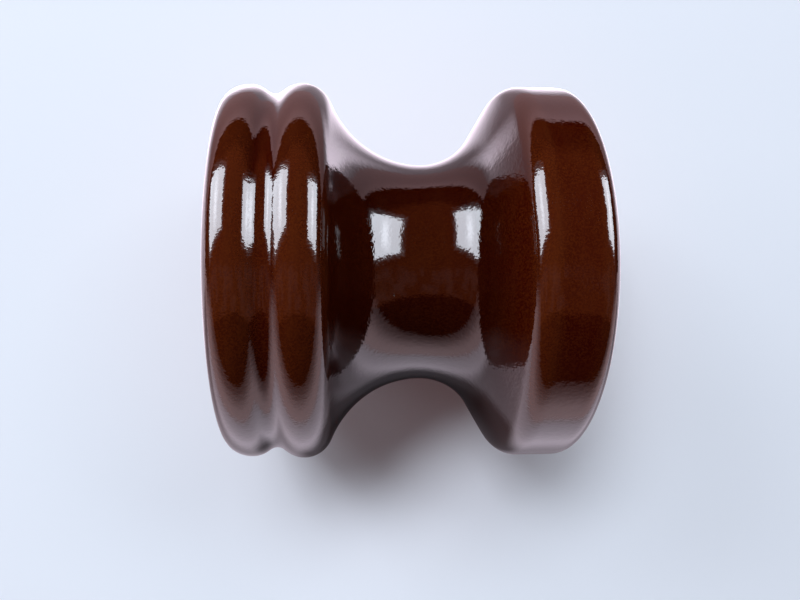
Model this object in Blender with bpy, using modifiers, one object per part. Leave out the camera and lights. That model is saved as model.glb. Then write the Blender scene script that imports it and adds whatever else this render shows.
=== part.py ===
"""Spool insulator: a brown-glazed porcelain spool for a low-voltage line.

Two round beads with a shallow valley between them make one end of the spool. A wide groove for the
line wire forms its waist, and a plain rounded flange makes the other end. A bolt goes through the bore.
The fired porcelain body and the glass coat that is fused over it are two separate pieces.

Frame: metres, +Z up. The spool lies on its side. +X runs along the bore towards the plain flange,
and the origin is on the bore's axis at mid-length.

Every outline is built in a half plane: "station" is the distance from the bead end along the bore,
and "radius" is the distance from the bore's axis. Angles are in degrees, 0 towards the flange end
and 90 away from the axis.
"""

import math

import bpy

MM = 0.001

# Overall size
SPOOL_LENGTH = 75.0 * MM
BORE_RADIUS = 10.0 * MM
BORE_MOUTH_ROUND = 2.0 * MM

# Bead end: the end face runs into the outer bead, a shallow valley, then the inner bead
OUTER_BEAD_RADIUS = 39.15 * MM
OUTER_BEAD_STATION = 5.2 * MM
OUTER_BEAD_ROUND = 4.8 * MM
BEAD_FACE_ROUND_DEPTH = 3.9 * MM
VALLEY_RADIUS = 37.4 * MM
VALLEY_ROUND = 2.5 * MM
INNER_BEAD_RADIUS = 39.65 * MM
INNER_BEAD_ROUND = 5.9 * MM

# Wire groove: a wide curve on the bead side, a tighter one and a straight flank on the flange side
WAIST_RADIUS = 23.5 * MM
BEAD_SIDE_CURVE = 20.45 * MM
FLANGE_SIDE_CURVE = 13.05 * MM

# Plain flange: a round shoulder, a straight band, a small round corner and a coned end face
BAND_RADIUS = 40.0 * MM
SHOULDER_STATION = 60.0 * MM
SHOULDER_ROUND = 5.05 * MM
BAND_END_STATION = 67.5 * MM
FLANGE_CORNER_ROUND = 3.5 * MM
END_FACE_CONE = 14.0

# Glass coat over everything but the foot and the inside of the bore
GLAZE_THICKNESS = 0.5 * MM
GLAZE_GAP = 0.3 * MM
GLAZE_DEPTH_IN_BORE = 8.0 * MM
GLAZE_CLEAR_OF_FOOT = 3.0 * MM
CLAY_INSET = GLAZE_THICKNESS + GLAZE_GAP

# Bare foot: the flat ring that the spool stands on in the kiln
FOOT_BEVEL = 0.5 * MM
STEP_CLEAR_OF_FOOT = 2.5 * MM

# Fineness of the faceted solids
SEGMENTS = 48
CHORD_ERROR = 0.08 * MM
CREASE_ANGLE = 35.0


# ---------------------------------------------------------------- outlines

def oval_arc(centre, half_length, half_height, start, end):
    """Points along an ellipse from one angle to another, close enough together for CHORD_ERROR."""
    mean_radius = (half_length + half_height) / 2
    largest_step = 2 * math.degrees(math.acos(1 - CHORD_ERROR / mean_radius))
    steps = max(2, math.ceil(abs(end - start) / largest_step))
    points = []
    for step in range(steps + 1):
        angle = math.radians(start + (end - start) * step / steps)
        station = centre[0] + half_length * math.cos(angle)
        radius = centre[1] + half_height * math.sin(angle)
        points.append((station, radius))
    return points


def arc(centre, radius, start, end):
    """Points along a circle from one angle to another."""
    return oval_arc(centre, radius, radius, start, end)


def angle_between(start, end):
    """Direction from one point to another, in degrees."""
    return math.degrees(math.atan2(end[1] - start[1], end[0] - start[0]))


def station_of_touching_circle(centre, touching_distance, radius):
    """Station, on the flange side, of a circle centre at a radius and a distance from another centre."""
    rise = radius - centre[1]
    return centre[0] + math.sqrt(touching_distance ** 2 - rise ** 2)


def curve_centres():
    """Centres of the round stretches of the outer surface, named by what they shape."""
    outer_bead = (OUTER_BEAD_STATION, OUTER_BEAD_RADIUS - OUTER_BEAD_ROUND)
    valley_radius = VALLEY_RADIUS + VALLEY_ROUND
    valley = (
        station_of_touching_circle(outer_bead, OUTER_BEAD_ROUND + VALLEY_ROUND, valley_radius),
        valley_radius,
    )
    inner_bead_radius = INNER_BEAD_RADIUS - INNER_BEAD_ROUND
    inner_bead = (
        station_of_touching_circle(valley, INNER_BEAD_ROUND + VALLEY_ROUND, inner_bead_radius),
        inner_bead_radius,
    )
    bead_side_radius = WAIST_RADIUS + BEAD_SIDE_CURVE
    bead_side = (
        station_of_touching_circle(inner_bead, INNER_BEAD_ROUND + BEAD_SIDE_CURVE, bead_side_radius),
        bead_side_radius,
    )
    return {
        "bead_face": (OUTER_BEAD_STATION, OUTER_BEAD_RADIUS - BEAD_FACE_ROUND_DEPTH),
        "outer_bead": outer_bead,
        "valley": valley,
        "inner_bead": inner_bead,
        "bead_side": bead_side,
        "flange_side": (bead_side[0], WAIST_RADIUS + FLANGE_SIDE_CURVE),
        "shoulder": (SHOULDER_STATION, BAND_RADIUS - SHOULDER_ROUND),
        "flange_corner": (BAND_END_STATION, BAND_RADIUS - FLANGE_CORNER_ROUND),
        "bore_mouth": (BORE_MOUTH_ROUND, BORE_RADIUS + BORE_MOUTH_ROUND),
    }


def foot_radius():
    """Outer radius of the flat foot ring, where the coned end face reaches the spool's full length."""
    corner = curve_centres()["flange_corner"]
    slope = math.radians(END_FACE_CONE)
    cone_start_station = corner[0] + FLANGE_CORNER_ROUND * math.cos(slope)
    cone_start_radius = corner[1] + FLANGE_CORNER_ROUND * math.sin(slope)
    return cone_start_radius - (SPOOL_LENGTH - cone_start_station) / math.tan(slope)


def end_face_point(inset, radius):
    """A point on the coned end face at a radius, under the finished surface by inset."""
    slope = math.radians(END_FACE_CONE)
    fall = (radius - foot_radius()) * math.tan(slope) + inset / math.cos(slope)
    return (SPOOL_LENGTH - fall, radius)


def outer_surface(inset, start_radius):
    """Outline from the coned end face, over the outside, round the bead face and into the bore.

    It lies under the finished surface by inset, so it serves for the glaze's outside (inset 0), for
    its inside and for the clay. It starts at start_radius on the end face.
    """
    centre = curve_centres()
    valley_to_outer = angle_between(centre["valley"], centre["outer_bead"])
    valley_to_inner = angle_between(centre["valley"], centre["inner_bead"])
    groove_to_inner = angle_between(centre["bead_side"], centre["inner_bead"])

    # The straight flank is the line that touches the shoulder's and the groove's circles
    flank_length = math.dist(centre["shoulder"], centre["flange_side"])
    flank_lean = math.degrees(math.acos((SHOULDER_ROUND + FLANGE_SIDE_CURVE) / flank_length))
    flank_angle = angle_between(centre["flange_side"], centre["shoulder"]) + 360 - flank_lean

    points = [end_face_point(inset, start_radius)]
    points += arc(centre["flange_corner"], FLANGE_CORNER_ROUND - inset, END_FACE_CONE, 90)
    points += arc(centre["shoulder"], SHOULDER_ROUND - inset, 90, flank_angle - 180)
    points += arc(centre["flange_side"], FLANGE_SIDE_CURVE + inset, flank_angle, 270)
    points += arc(centre["bead_side"], BEAD_SIDE_CURVE + inset, 270, groove_to_inner + 360)[1:]
    points += arc(centre["inner_bead"], INNER_BEAD_ROUND - inset, groove_to_inner + 180,
                  valley_to_inner + 180)[1:]
    points += arc(centre["valley"], VALLEY_ROUND + inset, valley_to_inner + 360,
                  valley_to_outer + 360)[1:]
    points += arc(centre["outer_bead"], OUTER_BEAD_ROUND - inset, valley_to_outer + 180, 90)[1:]
    points += oval_arc(
        centre["bead_face"],
        OUTER_BEAD_STATION - inset,
        BEAD_FACE_ROUND_DEPTH - inset,
        90,
        180,
    )[1:]
    points += arc(centre["bore_mouth"], BORE_MOUTH_ROUND - inset, 180, 270)
    return points


def porcelain_outline():
    """Closed outline of the fired clay: outside, bead face, bore and bare foot."""
    foot_edge = foot_radius()
    points = outer_surface(CLAY_INSET, foot_edge + STEP_CLEAR_OF_FOOT)
    lip_end = GLAZE_DEPTH_IN_BORE + GLAZE_GAP
    points.append((lip_end, BORE_RADIUS + CLAY_INSET))
    points.append((lip_end, BORE_RADIUS))
    foot_mouth = (SPOOL_LENGTH - BORE_MOUTH_ROUND, BORE_RADIUS + BORE_MOUTH_ROUND)
    points += arc(foot_mouth, BORE_MOUTH_ROUND, 270, 360)
    points.append((SPOOL_LENGTH, foot_edge))
    points.append((SPOOL_LENGTH - FOOT_BEVEL, foot_edge + FOOT_BEVEL))
    return points


def glaze_outline():
    """Closed outline of the glass coat: its shiny outside, then back along its inside."""
    end_radius = foot_radius() + GLAZE_CLEAR_OF_FOOT
    outside = outer_surface(0.0, end_radius)
    outside.append((GLAZE_DEPTH_IN_BORE, BORE_RADIUS))
    inside = outer_surface(GLAZE_THICKNESS, end_radius)
    inside.append((GLAZE_DEPTH_IN_BORE, BORE_RADIUS + GLAZE_THICKNESS))
    return outside + inside[::-1]


# ---------------------------------------------------------------- materials

def new_material(name, colour, roughness):
    """A non-metallic Principled material."""
    material = bpy.data.materials.new(name)
    material.use_nodes = True
    shader = material.node_tree.nodes["Principled BSDF"]
    shader.inputs["Base Color"].default_value = (*colour, 1.0)
    shader.inputs["Roughness"].default_value = roughness
    shader.inputs["Metallic"].default_value = 0.0
    return material


def bare_porcelain_material():
    """Dull, warm grey-white fired clay."""
    return new_material("bare_porcelain", (0.62, 0.57, 0.49), 0.75)


def brown_glaze_material():
    """Very dark, glossy red-brown glass."""
    return new_material("brown_glaze", (0.055, 0.012, 0.004), 0.08)


# ---------------------------------------------------------------- solids

def remove_old_objects():
    """Start from an empty scene."""
    for old_object in list(bpy.data.objects):
        bpy.data.objects.remove(old_object, do_unlink=True)


def new_collection(name):
    """A collection for the object's pieces."""
    collection = bpy.data.collections.new(name)
    bpy.context.scene.collection.children.link(collection)
    return collection


def new_bore_axis(collection):
    """An empty whose Z axis lies along +X, to hang the turned pieces on."""
    empty = bpy.data.objects.new("bore_axis", None)
    empty.empty_display_size = SPOOL_LENGTH / 2
    empty.rotation_euler = (0.0, math.radians(90), 0.0)
    collection.objects.link(empty)
    return empty


def turned_mesh(name, outline, collection):
    """Spin a closed outline round Z with a Screw modifier, and keep the result as a mesh."""
    profile = bpy.data.meshes.new(name + "_profile")
    vertices = [(radius, 0.0, station - SPOOL_LENGTH / 2) for station, radius in outline]
    edges = [(index, (index + 1) % len(vertices)) for index in range(len(vertices))]
    profile.from_pydata(vertices, edges, [])
    spun = bpy.data.objects.new(name + "_profile", profile)
    collection.objects.link(spun)
    screw = spun.modifiers.new("Turn", "SCREW")
    screw.axis = "Z"
    screw.angle = math.radians(360)
    screw.steps = SEGMENTS
    screw.render_steps = SEGMENTS
    screw.use_merge_vertices = True
    screw.merge_threshold = 0.00001
    evaluated = spun.evaluated_get(bpy.context.evaluated_depsgraph_get())
    mesh = bpy.data.meshes.new_from_object(evaluated)
    bpy.data.objects.remove(spun, do_unlink=True)
    bpy.data.meshes.remove(profile)
    mesh.name = name
    mesh.shade_smooth()
    mesh.set_sharp_from_angle(angle=math.radians(CREASE_ANGLE))
    return mesh


def add_turned_piece(name, outline, material, collection, bore_axis):
    """One turned piece of the spool, on the bore's axis."""
    mesh = turned_mesh(name, outline, collection)
    mesh.materials.append(material)
    piece = bpy.data.objects.new(name, mesh)
    piece.parent = bore_axis
    collection.objects.link(piece)
    return piece


def build_spool_insulator():
    """The whole object: the fired clay body inside its glass coat."""
    remove_old_objects()
    collection = new_collection("spool_insulator")
    bore_axis = new_bore_axis(collection)
    add_turned_piece(
        "porcelain_body", porcelain_outline(), bare_porcelain_material(), collection, bore_axis
    )
    add_turned_piece(
        "glaze_coat", glaze_outline(), brown_glaze_material(), collection, bore_axis
    )


build_spool_insulator()
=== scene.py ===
"""Looks of the glazed porcelain spool insulator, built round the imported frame.

The two CAD solids are replaced by finer ones that follow the same outlines: a coat of brown glass with
the low waves, brushed marks and rolled edge of a dipped glaze, and the bare clay that shows at the foot
and in the bore. Lengths are in metres. The spool lies on its side with its bore along X.
"""

import math

import bpy
import numpy as np
from mathutils import Euler, Matrix, Vector, noise


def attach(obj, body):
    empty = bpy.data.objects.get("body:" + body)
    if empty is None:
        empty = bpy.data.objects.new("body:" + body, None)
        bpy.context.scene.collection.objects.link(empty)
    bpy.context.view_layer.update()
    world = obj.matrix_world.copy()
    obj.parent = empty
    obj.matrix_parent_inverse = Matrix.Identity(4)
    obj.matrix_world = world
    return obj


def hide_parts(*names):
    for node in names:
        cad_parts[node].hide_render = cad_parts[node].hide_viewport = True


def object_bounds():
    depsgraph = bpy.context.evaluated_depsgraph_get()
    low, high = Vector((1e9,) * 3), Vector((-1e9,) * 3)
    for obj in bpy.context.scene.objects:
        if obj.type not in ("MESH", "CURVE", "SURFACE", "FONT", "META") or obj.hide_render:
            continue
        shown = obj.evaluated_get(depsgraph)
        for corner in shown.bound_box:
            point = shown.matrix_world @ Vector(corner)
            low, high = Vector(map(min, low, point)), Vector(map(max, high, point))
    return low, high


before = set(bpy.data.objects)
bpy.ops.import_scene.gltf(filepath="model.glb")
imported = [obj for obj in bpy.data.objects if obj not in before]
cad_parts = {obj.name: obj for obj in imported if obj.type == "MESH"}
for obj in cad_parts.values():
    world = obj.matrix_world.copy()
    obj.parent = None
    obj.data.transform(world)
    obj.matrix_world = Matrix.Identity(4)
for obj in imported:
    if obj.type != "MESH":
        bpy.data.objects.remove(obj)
cad_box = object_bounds()

MM = 0.001

# Reading the CAD outlines and making them round again. CORNER_TURN is in degrees.
SAME_PLACE = 0.002 * MM
CORNER_TURN = 60.0
STRAIGHT_RATIO = 1.6
CURVE_STEP = 0.3 * MM
SMOOTHING_PASSES = 2

# Fineness of the turned surfaces
SEGMENTS = 320
SURFACE_STEP = 0.7 * MM
HIDDEN_STEP = 2.0 * MM
CLAY_STEP = 0.75 * MM
EDGE_STEP = 0.05 * MM
EDGE_GROWTH = 1.35

# The glaze's edges, in the bore and at the foot, where a thick roll follows the thin nose
NOSE_LENGTH = 0.6 * MM
NOSE_DEPTH = 0.45 * MM
ROLL_HEIGHT = 0.12 * MM
ROLL_PLACE = 1.0 * MM
ROLL_WIDTH = 0.45 * MM

# How the glaze's edge wanders round the foot: how far, how far up it is felt, and its slow and quick waves
GLAZE_LINE_WANDER = 1.3 * MM
GLAZE_LINE_FADE = 6.0 * MM
WANDER_MIDDLE = 0.5
WANDER_GAIN = 0.6
SLOW_WANDER = 3.1
QUICK_WANDER = 9.0
QUICK_SHARE = 0.5
QUICK_OFFSET = (4, 4, 4)

# Waves in the glaze and clay surfaces: (wavelength, height). Each surface is sunk to make room for them.
GLAZE_WAVES = ((22.0 * MM, 0.045 * MM), (7.0 * MM, 0.010 * MM), (3.2 * MM, 0.0025 * MM))
GLAZE_SINK = 0.06 * MM
GLAZE_SEED = 1.0
CLAY_WAVES = ((9.0 * MM, 0.03 * MM), (1.6 * MM, 0.012 * MM))
CLAY_SINK = 0.05 * MM
CLAY_SEED = 3.0
SEED_STEPS = (1.0, 2.7, 5.1)

# Single blemishes that stand up or dip in the glaze: (place, radius, height)
BLEMISHES = (
    ((30.5 * MM, 10.0 * MM, 38.0 * MM), 1.1 * MM, 0.07 * MM),
    ((31.3 * MM, 8.4 * MM, 38.3 * MM), 0.8 * MM, -0.06 * MM),
    ((14.5 * MM, 27.0 * MM, 19.0 * MM), 2.6 * MM, 0.05 * MM),
    ((-8.0 * MM, 8.0 * MM, 25.0 * MM), 1.4 * MM, -0.015 * MM),
)

# How far the clay is filled up under the glaze, and where it counts as covered by it
CLAY_FILL = 0.28 * MM
COVER_REACH = 1.2 * MM
COVER_FADE = 0.8 * MM

# Patches of colour or shine: (size, detail, and the low and high noise spread over 0 to 1)
GLAZE_SPECKLE = (0.36 * MM, 2.0, 0.37, 0.65)
GLAZE_CLOUDS = (11.0 * MM, 3.0, 0.3, 0.7)
GLAZE_RUNS = (2.2 * MM, 3.0, 0.35, 0.75)
GLAZE_SMEARS = (5.0 * MM, 4.0, 0.55, 0.8)
CLAY_PATCHES = (6.0 * MM, 4.0, 0.3, 0.7)
CLAY_DIRT = (2.2 * MM, 5.0, 0.47, 0.70)
# Scattered dots: (spacing, radius, share of the places that get one)
GLAZE_SPECKS = (7.0 * MM, 0.16 * MM, 0.35)
GLAZE_PITS = (9.0 * MM, 0.22 * MM, 0.5)
IRON_SPECKS = (1.6 * MM, 0.13 * MM, 0.5)
# Relief too fine for the mesh: (size, detail, height)
ORANGE_PEEL = (0.36 * MM, 1.0, 0.009 * MM)
DIMPLES = (0.9 * MM, 1.0, 0.018 * MM)
BRUSH_MARKS = (0.55 * MM, 2.0, 0.0028 * MM)
CLAY_GRAIN = (0.25 * MM, 3.0, 0.09 * MM)
TURNING_RINGS = (0.5 * MM, 2.0, 0.05 * MM)
PIT_DEPTH = 0.05 * MM
# Stretch of the features along the bore, round it and away from it. Lengths round it are true at ARC_RADIUS.
RUN_STRETCH = (1.0, 6.0, 1.0)
BRUSH_STRETCH = (1.0, 12.0, 12.0)
RING_STRETCH = (1.0, 40.0, 1.0)
ARC_RADIUS = 40 * MM

# Glaze colours, with how strongly they show. The glaze is thin and pale on crests that are bent to
# CREST_RADIUS or tighter, and darkens as the distance from the axis falls through POOL_RADII.
SPECKLE_DARK = (0.023, 0.0011, 0.0003)
SPECKLE_PALE = (0.046, 0.0064, 0.0008)
CLOUD_COLOUR = (0.032, 0.0020, 0.0008)
CLOUD_SHARE = 0.45
RUN_COLOUR = (0.060, 0.0120, 0.0030)
RUN_SHARE = 0.20
CREST_COLOUR = (0.100, 0.025, 0.006)
CREST_SHARE = 0.14
CREST_RADIUS = 6 * MM
POOL_RADII = (37 * MM, 27 * MM)
POOL_DARKENING = 0.38
SPECK_COLOUR = (0.42, 0.30, 0.24)
GLAZE_ROUGHNESS = 0.035
SMEAR_ROUGHNESS = 0.05
GLAZE_IOR = 1.52

# Clay colours, with how strongly they show. The stain sets in as the distance from the axis rises through
# STAIN_RADII.
CLAY_DARK = (0.66, 0.57, 0.46)
CLAY_PALE = (0.75, 0.68, 0.58)
DIRT_COLOUR = (0.40, 0.31, 0.22)
DIRT_SHARE = 0.45
IRON_COLOUR = (0.12, 0.055, 0.03)
STAIN_COLOUR = (0.20, 0.075, 0.035)
STAIN_SHARE = 0.75
STAIN_RADII = (22.5 * MM, 26.0 * MM)
STAIN_RAGGEDNESS = 3.0 * MM
STAIN_GRAIN = (1.5 * MM, 3.0)
CLAY_ROUGHNESS = 0.72
DIRT_ROUGHNESS = 0.15

# Floor, to the eye and to the soft light
FLOOR_SIZE = 30.0
FLOOR_WHITE = (0.79, 0.825, 0.895)
FLOOR_AS_BOUNCE = (0.12, 0.12, 0.12)
FAR_WHITE = (0.72, 0.78, 0.89)
FAR_WHITE_FADE = (0.22, 0.55)
# Painted warm light on the floor close to the spool, in place of light thrown back by the brown glaze: its
# colour, and the distances over which it fades out
PAINTED_BOUNCE_LIGHT = (0.035, 0.006, 0.002)
PAINTED_BOUNCE_FADE = (110 * MM, 40 * MM)

# Floor as the glaze reflects it. A fade or gain is a smooth step from one place to another; where it isn't
# a step from 0 to 1, the values at the two places follow. The front is towards -Y and the back towards +Y.
# At the back the floor ends where rays come down more gently than BACK_END_SLOPES.
NEAR_FLOOR_IN_GLAZE = (0.84, 0.71, 0.78)
BACK_FLOOR_IN_GLAZE = (0.92, 0.60, 0.62)
SIDE_INNER_FADE = (14 * MM, 46 * MM)
SIDE_OUTER_FADE = (66 * MM, 48 * MM, 0.3, 1.0)
SIDE_FRONT_FADE = (5 * MM, 45 * MM)
SIDE_BACK_FADE = (100 * MM, 55 * MM, 0.06, 1.0)
SIDE_GAIN = (-20 * MM, 20 * MM, 5.6, 4.2)
WAIST_GAIN = (70 * MM, 45 * MM, 0.6, 2.4)
FRONT_FADE = (-15 * MM, -45 * MM)
FRONT_NEAR_GAIN = (18 * MM, 36 * MM, 0.25, 0.8)
FRONT_FAR_FADE = (-75 * MM, -130 * MM)
FRONT_FAR_GAIN = 2.6
BACK_START = 97 * MM
BACK_GAIN = (BACK_START, 400 * MM, 0.65, 1.25)
BACK_END_SLOPES = (-0.14, -0.16)
FRONT_HORIZON_FADE = (0.25, 0.8)

# Room as the glaze reflects it, by the Y and Z parts of the direction
LOW_FRONT_COLOUR = (1.0, 0.72, 0.78, 1.0)
LOW_FRONT_STRENGTH = 1.8
LOW_FRONT_TOP = (0.38, 0.32, 0.0, 0.25)
LOW_FRONT_RISE = (0.34, 0.0, 0.0, 0.75)
LOW_FRONT_FADE = (0.0, -0.3)
ROOM_STRENGTH = 0.008
STREAKS = (0.22, 3.0, 0.42, 0.62)
STREAK_STRENGTH = 0.13
STREAKS_FRONT_FADE = (-0.40, -0.33)
STREAKS_BACK_FADE = (0.12, -0.02)
CEILING_COLOUR = (0.34, 0.075, 0.022, 1.0)
CEILING_FRONT_FADE = (-0.41, -0.37)
CEILING_LOW_FADE = (0.15, 0.35)

# Lights stand LIGHT_DISTANCE from the origin. Their half sizes, bearings and elevations are in degrees.
# ENERGY_FOR_RADIANCE is a light's energy for each unit of its area and radiance.
LIGHT_DISTANCE = 2.5
ENERGY_FOR_RADIANCE = 4
# Windows: name, direction, its sideways direction, half width, half height
WINDOWS = (
    ("right_window", (0.7595, 0.4647, 0.456), (0.612, -0.333, -0.72), 15.0, 16.0),
    ("left_window", (-0.757, 0.517, 0.398), (-0.635, -0.42, -0.649), 20.0, 17.0),
)
WINDOW_RADIANCE = 11.0
WINDOW_COLOUR = (0.88, 0.94, 1.05)
PANE_STRENGTH = 0.9
PANE_MIDDLE_STRENGTH = 0.45
PANE_MIDDLE_ACROSS = (0.30, 0.0)
PANE_MIDDLE_ALONG = (0.8, 0.1)
HALO_SIZE = 1.35
HALO_STRENGTH = 0.06
# Soft lights: name, bearing from +X, elevation, half width, half height, radiance
SOFT_LIGHTS = (
    ("high_left_light", 127.0, 57.0, 8.4, 8.0, 15.6),
    ("high_middle_light", 99.0, 55.0, 9.0, 8.0, 7.4),
    ("high_right_light", 57.0, 48.0, 19.0, 7.0, 3.5),
    ("left_light", 139.0, 30.0, 10.0, 10.0, 4.8),
    ("low_left_light", 165.0, 10.0, 14.0, 8.0, 6.5),
    ("low_front_left_light", 208.0, 8.0, 14.0, 8.0, 2.6),
    ("low_right_fill", -8.0, 7.0, 15.0, 6.0, 2.6),
)
SOFT_COLOUR = (0.96, 1.0, 1.07)

# Camera
CAMERA_PLACE = (-14.54 * MM, -1.19 * MM, 148.42 * MM)
CAMERA_TURN = (-0.033, -0.089, -0.002)
CAMERA_LENS = 30.11
SENSOR_WIDTH = 36.0
CAMERA_NEAR_LIMIT = 10 * MM

# Angles round the bore of a turned surface's columns
ANGLES = 2 * math.pi * np.arange(SEGMENTS) / SEGMENTS


# ---------------------------------------------------------------- outlines of the CAD solids

def half_plane_outline(node):
    """The closed outline of a turned node where it crosses the upper half plane, as (x, radius) rows.

    It runs anticlockwise: along the bore towards +X, and back over the outside.
    """
    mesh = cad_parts[node].data

    def key(vertex):
        return (round(vertex.co.x / SAME_PLACE), round(vertex.co.z / SAME_PLACE))

    on_plane = {v.index for v in mesh.vertices if abs(v.co.y) < SAME_PLACE and v.co.z > 0}
    places = {}
    neighbours = {}
    for edge in mesh.edges:
        first, second = edge.vertices
        if first in on_plane and second in on_plane:
            a = mesh.vertices[first]
            b = mesh.vertices[second]
            places[key(a)] = (a.co.x, a.co.z)
            places[key(b)] = (b.co.x, b.co.z)
            if key(a) != key(b):
                neighbours.setdefault(key(a), set()).add(key(b))
                neighbours.setdefault(key(b), set()).add(key(a))
    start = max(places, key=lambda k: places[k][1])
    loop = [start]
    here, came_from = start, None
    while True:
        ahead = [k for k in neighbours[here] if k != came_from]
        came_from, here = here, ahead[0]
        if here == start:
            break
        loop.append(here)
    points = np.array([places[k] for k in loop])
    area = np.sum(points[:, 0] * np.roll(points[:, 1], -1) - np.roll(points[:, 0], -1) * points[:, 1])
    return points if area > 0 else points[::-1]


def smooth_runs(loop):
    """The stretches of a closed outline between its sharp corners."""
    ahead = np.roll(loop, -1, axis=0) - loop
    behind = loop - np.roll(loop, 1, axis=0)
    cross = behind[:, 0] * ahead[:, 1] - behind[:, 1] * ahead[:, 0]
    turn = np.degrees(np.arctan2(cross, (behind * ahead).sum(1)))
    corners = np.flatnonzero(np.abs(turn) > CORNER_TURN)
    runs = []
    for corner, following in zip(corners, np.roll(corners, -1)):
        count = (following - corner) % len(loop) + 1
        runs.append(loop[(corner + np.arange(count)) % len(loop)])
    return runs


def step_bends(points):
    """How strongly each step of a coarse curve is really bent, as 1/radius; straight steps get 0.

    A step on an arc is bent as its more bent end says. A straight step is much longer than its
    neighbours, because an arc is cut into many short ones.
    """
    step = np.diff(points, axis=0)
    length = np.hypot(step[:, 0], step[:, 1])
    cross = step[:-1, 0] * step[1:, 1] - step[:-1, 1] * step[1:, 0]
    across = np.hypot(*(points[2:] - points[:-2]).T)
    joint_bend = 2 * cross / (length[:-1] * length[1:] * across)
    before = np.concatenate([[0.0], joint_bend])
    after = np.concatenate([joint_bend, [0.0]])
    bend = np.where(np.abs(before) > np.abs(after), before, after)
    longer_than_last = length > STRAIGHT_RATIO * np.concatenate([[0.0], length[:-1]])
    longer_than_next = length > STRAIGHT_RATIO * np.concatenate([length[1:], [0.0]])
    return np.where(longer_than_last & longer_than_next, 0.0, bend)


def rounded(points):
    """A coarse CAD curve with its arcs made round again, in even steps of about CURVE_STEP."""
    pieces = []
    for start, end, bend in zip(points[:-1], points[1:], step_bends(points)):
        step = end - start
        length = math.hypot(*step)
        outward = np.array([step[1], -step[0]]) / length
        share = np.arange(math.ceil(length / CURVE_STEP)) / math.ceil(length / CURVE_STEP)
        rise = bend * length ** 2 / 2 * share * (1 - share)
        pieces.append(start + share[:, None] * step + rise[:, None] * outward)
    dense = np.concatenate(pieces + [points[-1:]])
    distance = distance_along(dense)
    even = np.linspace(0, distance[-1], math.ceil(distance[-1] / CURVE_STEP))
    curve = np.stack([np.interp(even, distance, dense[:, i]) for i in (0, 1)], axis=1)
    for _ in range(SMOOTHING_PASSES):
        curve[1:-1] = (curve[:-2] + 2 * curve[1:-1] + curve[2:]) / 4
    return curve


def distance_along(points):
    """Distance along a curve to each of its points."""
    return np.concatenate([[0], np.cumsum(np.hypot(*np.diff(points, axis=0).T))])


def outward_normals(curve):
    """Unit normals of an anticlockwise curve, pointing out of the solid."""
    slope = np.gradient(curve, axis=0)
    normal = np.stack([slope[:, 1], -slope[:, 0]], axis=1)
    return normal / np.hypot(*normal.T)[:, None]


def row_places(total, step):
    """Distances for a surface's rows: even steps, with much finer ones towards both ends."""
    places = [0.0]
    stride = EDGE_STEP
    while stride < step:
        places.append(places[-1] + stride)
        stride *= EDGE_GROWTH
    middle = total - 2 * places[-1]
    count = math.ceil(middle / step)
    inner = places[-1] + middle * np.arange(1, count) / count
    return np.concatenate([places, inner, total - np.array(places[::-1])])


# ---------------------------------------------------------------- turned meshes

def sample(curve, values, distance):
    """Pairs of values that go with a curve's points, read off at a grid of distances along it."""
    along = distance_along(curve)
    return np.stack([np.interp(distance, along, values[:, i]) for i in (0, 1)], axis=-1)


def in_space(flat):
    """Points of a grid of (x, radius) rows, one column for each of ANGLES, as (x, y, z)."""
    x, radius = flat[..., 0], flat[..., 1]
    return np.stack([x, radius * np.sin(ANGLES), radius * np.cos(ANGLES)], axis=-1)


def wave_heights(points, waves, seed):
    """Height of a sum of smooth noises at each point of a grid."""
    heights = np.zeros(points.shape[:-1])
    flat = heights.ravel()
    rows = points.reshape(-1, 3)
    offset = Vector([seed * step for step in SEED_STEPS])
    for wavelength, height in waves:
        flat += [height * noise.noise(Vector(p) / wavelength + offset) for p in rows]
    return heights


def turned_mesh(name, grid):
    """A closed mesh from a grid of points: both the rows and the columns join up in rings."""
    rows, columns = grid.shape[:2]
    index = np.arange(rows * columns).reshape(rows, columns)
    below = np.roll(index, -1, axis=0)
    faces = np.stack([index, np.roll(index, -1, axis=1), np.roll(below, -1, axis=1), below], axis=-1)
    mesh = bpy.data.meshes.new(name)
    mesh.from_pydata(grid.reshape(-1, 3).tolist(), [], faces.reshape(-1, 4).tolist())
    mesh.shade_smooth()
    mesh.update()
    piece = bpy.data.objects.new(name, mesh)
    bpy.context.scene.collection.objects.link(piece)
    return piece


def add_vertex_values(piece, name, values):
    """A value for each vertex that the piece's material can read."""
    attribute = piece.data.attributes.new(name, "FLOAT", "POINT")
    attribute.data.foreach_set("value", values.astype(np.float32).ravel())


def nose_depth(distance_to_edge):
    """How far the glaze's outside dips, in a quarter round, at a distance from its edge."""
    share = 1 - np.clip(distance_to_edge / NOSE_LENGTH, 0, 1)
    return NOSE_DEPTH * (1 - np.sqrt(1 - share ** 2))


def glaze_line():
    """How far the glaze's edge has drawn back from its lowest line, round the foot."""
    ring = [Vector((math.cos(a), math.sin(a), 0.0)) for a in ANGLES]
    slow = np.array([noise.noise(SLOW_WANDER * p) for p in ring])
    quick = np.array([noise.noise(QUICK_WANDER * p + Vector(QUICK_OFFSET)) for p in ring])
    return GLAZE_LINE_WANDER * np.clip(WANDER_MIDDLE + WANDER_GAIN * (slow + QUICK_SHARE * quick), 0, 1)


def blemish_heights(points):
    """Height of the single blemishes: a fold by the flange's corner, a swelling on its flank, a dimple."""
    heights = np.zeros(points.shape[:-1])
    for place, radius, height in BLEMISHES:
        away = np.linalg.norm(points - np.array(place), axis=-1)
        heights += height * np.exp(-(away / radius) ** 2)
    return heights


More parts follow.
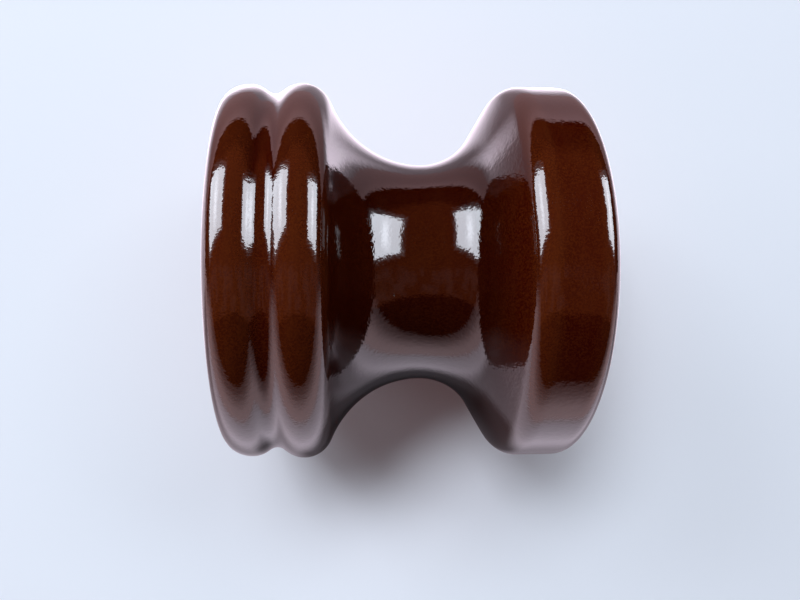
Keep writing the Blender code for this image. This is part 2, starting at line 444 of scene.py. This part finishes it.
def build_glaze():
    """Builds the coat of glass: a fine outside with waves in it, thin rounded edges and a plain inside.

    Returns the outline of its inside.
    """
    runs = sorted(smooth_runs(half_plane_outline("glaze_coat")), key=len)
    outside, inside = sorted(runs[-2:], key=lambda run: -run[:, 1].max())
    outside, inside = rounded(outside), rounded(inside)
    line = glaze_line()

    length = distance_along(outside)[-1]
    outer_rows = row_places(length, SURFACE_STEP)
    rows = outer_rows[:, None]
    drawn = rows + line * np.clip(1 - rows / GLAZE_LINE_FADE, 0, 1)
    flat = sample(outside, outside, drawn)
    normal = sample(outside, outward_normals(outside), drawn)
    surface = in_space(flat)
    height = wave_heights(surface, GLAZE_WAVES, GLAZE_SEED) + blemish_heights(surface) - GLAZE_SINK
    height += ROLL_HEIGHT * np.exp(-((rows - ROLL_PLACE) / ROLL_WIDTH) ** 2)
    height -= nose_depth(rows) + nose_depth(length - rows)
    outer = in_space(flat + normal * height[..., None])

    length = distance_along(inside)[-1]
    rows = row_places(length, HIDDEN_STEP)[:, None]
    drawn = rows - line * np.clip(1 - (length - rows) / GLAZE_LINE_FADE, 0, 1)
    inner = in_space(sample(inside, inside, drawn))

    piece = turned_mesh("brown_glass_coat", np.concatenate([outer, inner]))
    bend = np.gradient(np.unwrap(np.arctan2(*outward_normals(outside).T[::-1])), distance_along(outside))
    crest = np.interp(outer_rows, distance_along(outside), np.clip(bend * CREST_RADIUS, 0, 1))
    hidden = np.zeros(len(rows))
    add_vertex_values(piece, "crest", np.repeat(np.concatenate([crest, hidden]), SEGMENTS))
    piece.data.materials.append(brown_glaze_material())
    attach(piece, "root")
    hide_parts("glaze_coat")
    return inside


def build_clay(glaze_inside):
    """Builds the fired clay, filled up to just under the glaze so that no gap shows at the glaze's edges."""
    runs = sorted(smooth_runs(half_plane_outline("porcelain_body")), key=len)
    curve = rounded(runs[-1])
    reach = np.array([np.hypot(*(glaze_inside - p).T).min() for p in curve])
    covered = np.clip((COVER_REACH - reach) / COVER_FADE, 0, 1)
    curve = curve + outward_normals(curve) * (CLAY_FILL * covered)[:, None]

    length = distance_along(curve)[-1]
    rows = row_places(length, CLAY_STEP)[:, None]
    places = np.broadcast_to(rows, (len(rows), SEGMENTS))
    flat = sample(curve, curve, places)
    normal = sample(curve, outward_normals(curve), places)
    bare = 1 - np.interp(places, distance_along(curve), covered)
    height = bare * (wave_heights(in_space(flat), CLAY_WAVES, CLAY_SEED) - CLAY_SINK)
    piece = turned_mesh("fired_clay_body", in_space(flat + normal * height[..., None]))
    piece.data.materials.append(bare_clay_material())
    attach(piece, "root")
    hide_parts("porcelain_body")


# ---------------------------------------------------------------- node helpers

def new_tree(owner):
    """An owner's empty node tree."""
    owner.use_nodes = True
    owner.node_tree.nodes.clear()
    return owner.node_tree


def put(tree, socket, value):
    """Joins a socket to another one, or gives it a plain value."""
    if isinstance(value, bpy.types.NodeSocket):
        tree.links.new(value, socket)
    else:
        socket.default_value = value


def add(tree, kind, inputs=None, **settings):
    """A new shader node with its settings and inputs."""
    node = tree.nodes.new("ShaderNode" + kind)
    for name, value in settings.items():
        setattr(node, name, value)
    for name, value in (inputs or {}).items():
        put(tree, node.inputs[name], value)
    return node


def calc(tree, operation, first, second=0.0, third=0.0):
    """The result of one sum on up to three values."""
    node = add(tree, "Math", operation=operation)
    for socket, value in zip(node.inputs, (first, second, third)):
        put(tree, socket, value)
    return node.outputs[0]


def between(tree, value, low, high, to_low=0.0, to_high=1.0):
    """A smooth step of a value from low to high."""
    inputs = {"Value": value, "From Min": low, "From Max": high, "To Min": to_low, "To Max": to_high}
    return add(tree, "MapRange", inputs, interpolation_type="SMOOTHSTEP").outputs["Result"]


def blend_colour(tree, share, first, second):
    """A mix of two colours, either of which may be a socket."""
    node = add(tree, "Mix", data_type="RGBA")
    put(tree, node.inputs[0], share)
    for socket, colour in ((node.inputs[6], first), (node.inputs[7], second)):
        put(tree, socket, colour if isinstance(colour, bpy.types.NodeSocket) else (*colour, 1.0))
    return node.outputs[2]


def blend_value(tree, share, first, second):
    """A mix of two numbers, either of which may be a socket."""
    node = add(tree, "Mix", data_type="FLOAT")
    put(tree, node.inputs[0], share)
    put(tree, node.inputs[2], first)
    put(tree, node.inputs[3], second)
    return node.outputs[0]


def grain(tree, place, size, detail, stretch=(1.0, 1.0, 1.0)):
    """Noise with features of about a given size, drawn out along an axis where stretch is above 1."""
    scale = add(tree, "VectorMath", operation="DIVIDE")
    put(tree, scale.inputs[0], place)
    put(tree, scale.inputs[1], tuple(size * s for s in stretch))
    node = add(tree, "TexNoise", {"Vector": scale.outputs[0], "Scale": 1.0, "Detail": detail})
    return node.outputs["Fac"]


def patches(tree, place, size, detail, low, high, stretch=(1.0, 1.0, 1.0)):
    """Patches with soft edges: 0 where the noise is below low and 1 where it is above high."""
    return between(tree, grain(tree, place, size, detail, stretch), low, high)


def dots(tree, place, spacing, radius, share):
    """1 in scattered dots, soft in their outer half, and 0 elsewhere: a share of the places get a dot."""
    cells = add(tree, "TexVoronoi", {"Vector": place, "Scale": 1 / spacing}, feature="F1")
    near = between(tree, cells.outputs["Distance"], radius / spacing, 0.5 * radius / spacing)
    lot = add(tree, "SeparateColor", {"Color": cells.outputs["Color"]}).outputs[0]
    return calc(tree, "MULTIPLY", near, calc(tree, "LESS_THAN", lot, share))


def round_place(tree, place):
    """Coordinates on the turned surface (along the bore, round it and from its axis), and the radius."""
    parts = add(tree, "SeparateXYZ", {"Vector": place})
    angle = calc(tree, "ARCTAN2", parts.outputs["Y"], parts.outputs["Z"])
    arc = calc(tree, "MULTIPLY", angle, ARC_RADIUS)
    across = add(tree, "CombineXYZ", {"X": 0.0, "Y": parts.outputs["Y"], "Z": parts.outputs["Z"]})
    radius = add(tree, "VectorMath", {0: across.outputs[0]}, operation="LENGTH").outputs["Value"]
    turned = add(tree, "CombineXYZ", {"X": parts.outputs["X"], "Y": arc, "Z": radius})
    return turned.outputs[0], radius


def bump(tree, height, distance, normal=None):
    """Bends the normals as if the surface rose by height times distance."""
    inputs = {"Height": height, "Distance": distance, "Strength": 1.0}
    if normal is not None:
        inputs["Normal"] = normal
    return add(tree, "Bump", inputs).outputs["Normal"]


def relief(tree, place, size, detail, height, normal=None, stretch=(1.0, 1.0, 1.0)):
    """Bends the normals as if noise with features of a given size and height stood on the surface."""
    return bump(tree, grain(tree, place, size, detail, stretch), height, normal)


def tint(tree, cover, strength, base, colour):
    """Lays a colour over the base one: where cover is 1, it shows with the given strength."""
    return blend_colour(tree, calc(tree, "MULTIPLY", cover, strength), base, colour)


# ---------------------------------------------------------------- materials

def brown_glaze_material():
    """Glossy red-brown glass: fine speckle, slow changes of colour, orange peel and brushed marks."""
    material = bpy.data.materials.new("brown_glaze_look")
    tree = new_tree(material)
    place = add(tree, "TexCoord").outputs["Object"]
    turned, radius = round_place(tree, place)

    colour = blend_colour(tree, patches(tree, place, *GLAZE_SPECKLE), SPECKLE_DARK, SPECKLE_PALE)
    colour = tint(tree, patches(tree, place, *GLAZE_CLOUDS), CLOUD_SHARE, colour, CLOUD_COLOUR)
    runs = patches(tree, turned, *GLAZE_RUNS, stretch=RUN_STRETCH)
    colour = tint(tree, runs, RUN_SHARE, colour, RUN_COLOUR)
    crest = add(tree, "Attribute", attribute_name="crest").outputs["Fac"]
    colour = tint(tree, crest, CREST_SHARE, colour, CREST_COLOUR)
    pooled = between(tree, radius, *POOL_RADII)
    shade = add(tree, "VectorMath", {0: colour}, operation="SCALE")
    put(tree, shade.inputs["Scale"], calc(tree, "MULTIPLY_ADD", pooled, -POOL_DARKENING, 1.0))
    colour = blend_colour(tree, dots(tree, place, *GLAZE_SPECKS), shade.outputs[0], SPECK_COLOUR)

    normal = relief(tree, place, *ORANGE_PEEL)
    normal = relief(tree, place, *DIMPLES, normal=normal)
    normal = relief(tree, turned, *BRUSH_MARKS, normal=normal, stretch=BRUSH_STRETCH)
    unpitted = calc(tree, "SUBTRACT", 1.0, dots(tree, place, *GLAZE_PITS))
    normal = bump(tree, unpitted, PIT_DEPTH, normal)

    smears = patches(tree, place, *GLAZE_SMEARS)
    roughness = calc(tree, "MULTIPLY_ADD", smears, SMEAR_ROUGHNESS, GLAZE_ROUGHNESS)
    inputs = {"Base Color": colour, "Roughness": roughness, "IOR": GLAZE_IOR, "Normal": normal}
    shader = add(tree, "BsdfPrincipled", inputs)
    add(tree, "OutputMaterial", {"Surface": shader.outputs["BSDF"]})
    return material


def bare_clay_material():
    """Unglazed fired clay: warm off-white, with grain, iron specks, kiln dirt and a stain by the glaze."""
    material = bpy.data.materials.new("bare_clay_look")
    tree = new_tree(material)
    place = add(tree, "TexCoord").outputs["Object"]
    turned, radius = round_place(tree, place)

    colour = blend_colour(tree, patches(tree, place, *CLAY_PATCHES), CLAY_DARK, CLAY_PALE)
    dirt = patches(tree, place, *CLAY_DIRT)
    colour = tint(tree, dirt, DIRT_SHARE, colour, DIRT_COLOUR)
    colour = blend_colour(tree, dots(tree, place, *IRON_SPECKS), colour, IRON_COLOUR)
    ragged = calc(tree, "MULTIPLY_ADD", grain(tree, place, *STAIN_GRAIN), STAIN_RAGGEDNESS, radius)
    colour = tint(tree, between(tree, ragged, *STAIN_RADII), STAIN_SHARE, colour, STAIN_COLOUR)

    normal = relief(tree, place, *CLAY_GRAIN)
    normal = relief(tree, turned, *TURNING_RINGS, normal=normal, stretch=RING_STRETCH)
    roughness = calc(tree, "MULTIPLY_ADD", dirt, DIRT_ROUGHNESS, CLAY_ROUGHNESS)
    inputs = {"Base Color": colour, "Roughness": roughness, "Normal": normal}
    shader = add(tree, "BsdfPrincipled", inputs)
    add(tree, "OutputMaterial", {"Surface": shader.outputs["BSDF"]})
    return material


# ---------------------------------------------------------------- floor, surroundings and lights

def elevation_of_view(tree):
    """The vertical part of the direction that a ray travels in: -1 down, 1 up."""
    incoming = add(tree, "NewGeometry").outputs["Incoming"]
    vertical = add(tree, "SeparateXYZ", {"Vector": incoming}).outputs["Z"]
    return calc(tree, "MULTIPLY", vertical, -1.0)


def floor_gain(tree, x, y, at_back):
    """How brightly the glaze reflects the floor: zones by the sides and the waist, in front and behind."""
    off_centre = calc(tree, "ABSOLUTE", x)
    aside = between(tree, off_centre, *SIDE_INNER_FADE)
    aside = calc(tree, "MULTIPLY", aside, between(tree, off_centre, *SIDE_OUTER_FADE))
    aside = calc(tree, "MULTIPLY", aside, between(tree, y, *SIDE_FRONT_FADE))
    aside = calc(tree, "MULTIPLY", aside, between(tree, y, *SIDE_BACK_FADE))
    near = blend_value(tree, aside, between(tree, y, *WAIST_GAIN), between(tree, x, *SIDE_GAIN))

    front = between(tree, off_centre, *FRONT_NEAR_GAIN)
    front = blend_value(tree, between(tree, y, *FRONT_FAR_FADE), front, FRONT_FAR_GAIN)
    gain = blend_value(tree, between(tree, y, *FRONT_FADE), near, front)
    gain = blend_value(tree, at_back, gain, between(tree, y, *BACK_GAIN))

    steep = between(tree, elevation_of_view(tree), *BACK_END_SLOPES)
    in_front = calc(tree, "SUBTRACT", 1.0, calc(tree, "GREATER_THAN", y, 0.0))
    return calc(tree, "MULTIPLY", gain, calc(tree, "MAXIMUM", steep, in_front))


def floor_material():
    """A plain pale floor.

    To the eye it is lit by the soft lights, with a faint painted warm glow close to the spool that stands in
    for light thrown back by the brown glaze, and it fades into the far white. In the glaze it has its own
    colour and brightness, ends some way behind the spool, and fades into the room's low front far in front
    of it.
    """
    material = bpy.data.materials.new("pale_floor")
    tree = new_tree(material)
    parts = add(tree, "SeparateXYZ", {"Vector": add(tree, "NewGeometry").outputs["Position"]})
    x, y = parts.outputs["X"], parts.outputs["Y"]
    flat_place = add(tree, "CombineXYZ", {"X": x, "Y": y})
    away = add(tree, "VectorMath", {0: flat_place.outputs[0]}, operation="LENGTH").outputs["Value"]
    path = add(tree, "LightPath")
    to_eye, in_glaze = path.outputs["Is Camera Ray"], path.outputs["Is Glossy Ray"]

    at_back = calc(tree, "GREATER_THAN", y, BACK_START)
    reflected = add(tree, "VectorMath", operation="SCALE")
    put(tree, reflected.inputs[0], blend_colour(tree, at_back, NEAR_FLOOR_IN_GLAZE, BACK_FLOOR_IN_GLAZE))
    put(tree, reflected.inputs["Scale"], floor_gain(tree, x, y, at_back))
    colour = blend_colour(tree, path.outputs["Is Diffuse Ray"], FLOOR_WHITE, FLOOR_AS_BOUNCE)
    colour = blend_colour(tree, in_glaze, colour, reflected.outputs[0])
    surface = add(tree, "BsdfDiffuse", {"Color": colour})

    horizon = calc(tree, "MULTIPLY", between(tree, away, *FRONT_HORIZON_FADE), in_glaze)
    horizon = calc(tree, "MULTIPLY", horizon, calc(tree, "LESS_THAN", y, 0.0))
    low_front = add(tree, "Emission", {"Color": LOW_FRONT_COLOUR, "Strength": LOW_FRONT_STRENGTH})
    surface = add(tree, "MixShader", {"Fac": horizon, 1: surface.outputs[0], 2: low_front.outputs[0]})
    # Painted warm glow on the floor near the spool, seen only by the camera, in place of light thrown back
    # by the brown glaze
    bounce_light_strength = calc(tree, "MULTIPLY", between(tree, away, *PAINTED_BOUNCE_FADE), to_eye)
    painted_bounce_light = add(tree, "Emission", {"Color": (*PAINTED_BOUNCE_LIGHT, 1.0), "Strength": bounce_light_strength})
    surface = add(tree, "AddShader", {0: surface.outputs[0], 1: painted_bounce_light.outputs[0]})
    far = calc(tree, "MULTIPLY", between(tree, away, *FAR_WHITE_FADE), to_eye)
    far_white = add(tree, "Emission", {"Color": (*FAR_WHITE, 1.0), "Strength": 1.0})
    surface = add(tree, "MixShader", {"Fac": far, 1: surface.outputs[0], 2: far_white.outputs[0]})
    add(tree, "OutputMaterial", {"Surface": surface.outputs[0]})
    return material


def add_floor():
    """A wide floor that the spool lies on."""
    bpy.ops.mesh.primitive_plane_add(size=FLOOR_SIZE, location=(0.0, 0.0, cad_box[0].z))
    floor = bpy.context.object
    floor.name = "floor"
    floor.data.materials.append(floor_material())


def set_surroundings():
    """The room round the floor: plain far white to the eye, and no light at all on dull surfaces.

    In the glaze it is dark, with a pale low front, faint streaks overhead and a dim brown ceiling.
    """
    world = bpy.data.worlds.new("studio")
    bpy.context.scene.world = world
    tree = new_tree(world)
    direction = add(tree, "TexCoord").outputs["Generated"]
    parts = add(tree, "SeparateXYZ", {"Vector": direction})
    y, z = parts.outputs["Y"], parts.outputs["Z"]

    low = calc(tree, "ADD", between(tree, z, *LOW_FRONT_TOP), between(tree, z, *LOW_FRONT_RISE))
    low_front = calc(tree, "MULTIPLY", low, between(tree, y, *LOW_FRONT_FADE))
    strength = calc(tree, "MULTIPLY_ADD", low_front, LOW_FRONT_STRENGTH, ROOM_STRENGTH)
    overhead = between(tree, y, *STREAKS_FRONT_FADE)
    overhead = calc(tree, "MULTIPLY", overhead, between(tree, y, *STREAKS_BACK_FADE))
    streaks = calc(tree, "MULTIPLY", overhead, patches(tree, direction, *STREAKS))
    strength = calc(tree, "MULTIPLY_ADD", streaks, STREAK_STRENGTH, strength)
    room = add(tree, "Background", {"Color": LOW_FRONT_COLOUR, "Strength": strength})
    above = between(tree, y, *CEILING_FRONT_FADE)
    above = calc(tree, "MULTIPLY", above, between(tree, z, *CEILING_LOW_FADE))
    ceiling = add(tree, "Background", {"Color": CEILING_COLOUR, "Strength": above})
    room = add(tree, "AddShader", {0: room.outputs[0], 1: ceiling.outputs[0]})

    path = add(tree, "LightPath")
    room = add(tree, "MixShader", {"Fac": path.outputs["Is Glossy Ray"], 2: room.outputs[0]})
    pale = add(tree, "Background", {"Color": (*FAR_WHITE, 1.0), "Strength": 1.0})
    inputs = {"Fac": path.outputs["Is Camera Ray"], 1: room.outputs[0], 2: pale.outputs[0]}
    add(tree, "OutputWorld", {"Surface": add(tree, "MixShader", inputs).outputs[0]})


def shade_window(light):
    """Makes the middle of a window's pane brightest, and leaves only a faint halo round the pane."""
    tree = new_tree(light)
    spot = add(tree, "SeparateXYZ", {"Vector": add(tree, "NewGeometry").outputs["Parametric"]})
    out_across, out_along = (
        calc(tree, "MULTIPLY", calc(tree, "ABSOLUTE", calc(tree, "SUBTRACT", spot.outputs[axis], 0.5)), 2.0)
        for axis in ("X", "Y")
    )
    outermost = calc(tree, "MAXIMUM", out_across, out_along)
    pane = calc(tree, "LESS_THAN", outermost, 1 / HALO_SIZE)
    across = between(tree, out_across, *PANE_MIDDLE_ACROSS)
    along = between(tree, out_along, *PANE_MIDDLE_ALONG)
    middle = calc(tree, "MULTIPLY", across, along)
    bright = calc(tree, "MULTIPLY_ADD", middle, PANE_MIDDLE_STRENGTH, PANE_STRENGTH)
    halo = between(tree, outermost, 1.0, 1 / HALO_SIZE, 0.0, HALO_STRENGTH)
    strength = blend_value(tree, pane, halo, bright)
    add(tree, "OutputLight", {"Surface": add(tree, "Emission", {"Strength": strength}).outputs[0]})


def add_panel(name, towards, right, half_width, half_height, radiance, colour):
    """A glowing panel, square to the line from the origin to it, of a given half size in degrees."""
    towards = Vector(towards).normalized()
    right = Vector(right)
    right = (right - right.dot(towards) * towards).normalized()
    light = bpy.data.lights.new(name, "AREA")
    light.shape = "RECTANGLE"
    light.size = 2 * LIGHT_DISTANCE * math.tan(math.radians(half_width))
    light.size_y = 2 * LIGHT_DISTANCE * math.tan(math.radians(half_height))
    light.energy = ENERGY_FOR_RADIANCE * light.size * light.size_y * radiance
    light.color = colour
    lamp = bpy.data.objects.new(name, light)
    bpy.context.scene.collection.objects.link(lamp)
    lamp.rotation_mode = "QUATERNION"
    lamp.rotation_quaternion = Matrix((right, towards.cross(right), towards)).transposed().to_quaternion()
    lamp.location = towards * LIGHT_DISTANCE
    lamp.visible_camera = False
    return lamp


def add_windows():
    """Bright windows with a faint halo, which show in the glaze but light nothing."""
    for name, towards, right, half_width, half_height in WINDOWS:
        lamp = add_panel(name, towards, right, half_width, half_height, WINDOW_RADIANCE, WINDOW_COLOUR)
        lamp.data.size *= HALO_SIZE
        lamp.data.size_y *= HALO_SIZE
        lamp.data.energy *= HALO_SIZE ** 2
        lamp.visible_diffuse = False
        shade_window(lamp.data)


def add_soft_lights():
    """Wide panels that give soft shading and shadows but don't show in the glaze."""
    for name, bearing, elevation, half_width, half_height, radiance in SOFT_LIGHTS:
        bearing, elevation = math.radians(bearing), math.radians(elevation)
        level = math.cos(elevation)
        towards = Vector((level * math.cos(bearing), level * math.sin(bearing), math.sin(elevation)))
        right = Vector((-math.sin(bearing), math.cos(bearing), 0.0))
        lamp = add_panel(name, towards, right, half_width, half_height, radiance, SOFT_COLOUR)
        lamp.visible_glossy = False


# ---------------------------------------------------------------- camera

def add_camera():
    """A camera close above the spool, looking nearly straight down on it."""
    data = bpy.data.cameras.new("camera")
    data.sensor_width = SENSOR_WIDTH
    data.lens = CAMERA_LENS
    data.clip_start = CAMERA_NEAR_LIMIT
    camera = bpy.data.objects.new("camera", data)
    bpy.context.scene.collection.objects.link(camera)
    camera.rotation_mode = "ZYX"
    camera.rotation_euler = Euler(CAMERA_TURN, "ZYX")
    camera.location = CAMERA_PLACE
    bpy.context.scene.camera = camera


glaze_inside = build_glaze()
build_clay(glaze_inside)
add_floor()
set_surroundings()
add_windows()
add_soft_lights()
add_camera()
bpy.context.scene.view_settings.view_transform = "Standard"
bpy.context.scene.cycles.use_denoising = True
